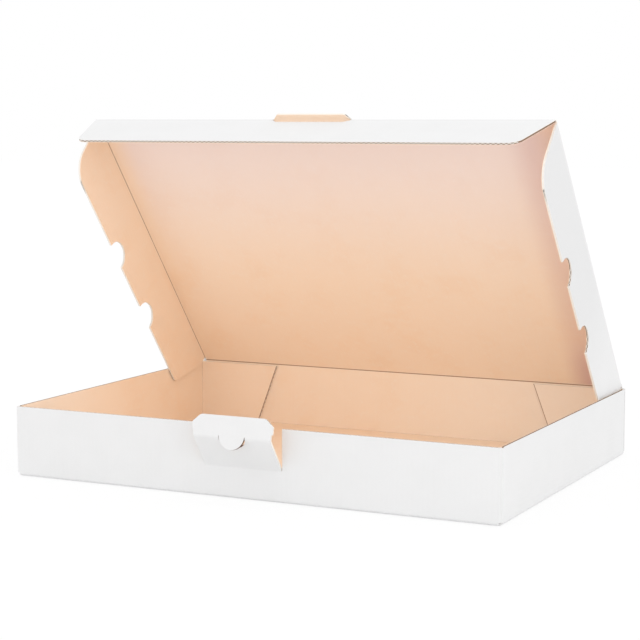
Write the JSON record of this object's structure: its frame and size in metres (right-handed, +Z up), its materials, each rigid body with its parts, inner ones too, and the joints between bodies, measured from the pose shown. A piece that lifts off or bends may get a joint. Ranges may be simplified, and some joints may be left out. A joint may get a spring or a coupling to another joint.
{
  "type": "cardboard mailing box",
  "caption": "Flat folded mailing box of thin corrugated board, white outside and brown inside: glued tray, hinged lid with tuck-in flaps, and a lock tab in the front wall.",
  "frame": {"origin": "centre of the tray's bottom face, on the ground", "axes": "+X along the front wall, +Y from the front wall to the lid's hinge, +Z up"},
  "size_m": [0.35, 0.2685, 0.2445],
  "materials": {
    "white_lined_board": "matt, white liner outside, brown liner inside"
  },
  "bodies": {
    "tray": {"base_tray": "white_lined_board"},
    "lid": {"lid_panel": "white_lined_board"},
    "front_flap": {"lid_front_flap": "white_lined_board"},
    "left_flap": {"lid_left_flap": "white_lined_board"},
    "right_flap": {"lid_right_flap": "white_lined_board"},
    "lock": {"lock_tab": "white_lined_board"},
    "lip": {"lock_lip": "white_lined_board"}
  },
  "joints": [
    {"name": "lid_hinge", "type": "hinge", "parent": "tray", "child": "lid", "pos_m": [0, 0.1252, 0.0486], "axis": [-1, 0, 0], "range_deg": [-51.8, 128.2]},
    {"name": "front_flap_fold", "type": "hinge", "parent": "lid", "child": "front_flap", "pos_m": [0, -0.02532, 0.23988], "axis": [1, 0, 0], "range_deg": [-70, 28.5]},
    {"name": "left_flap_fold", "type": "hinge", "parent": "lid", "child": "left_flap", "pos_m": [-0.171, 0.12457, 0.04811], "axis": [0, -0.6184, 0.7859], "range_deg": [0, 75]},
    {"name": "right_flap_fold", "type": "hinge", "parent": "lid", "child": "right_flap", "pos_m": [0.171, 0.12457, 0.04811], "axis": [0, 0.6184, -0.7859], "range_deg": [0, 75]},
    {"name": "lock_tab_fold", "type": "hinge", "parent": "tray", "child": "lock", "pos_m": [0, -0.1252, 0.0208], "axis": [1, 0, 0], "range_deg": [-35.3, 54.7]},
    {"name": "lock_lip_fold", "type": "hinge", "parent": "lock", "child": "lip", "pos_m": [0, -0.14017, 0.04194], "axis": [1, 0, 0], "range_deg": [-43.1, 46.9]}
  ],
  "couplings": [
    {"joint": "front_flap_fold", "follows": "lid_hinge", "ratio": -0.54054}
  ]
}
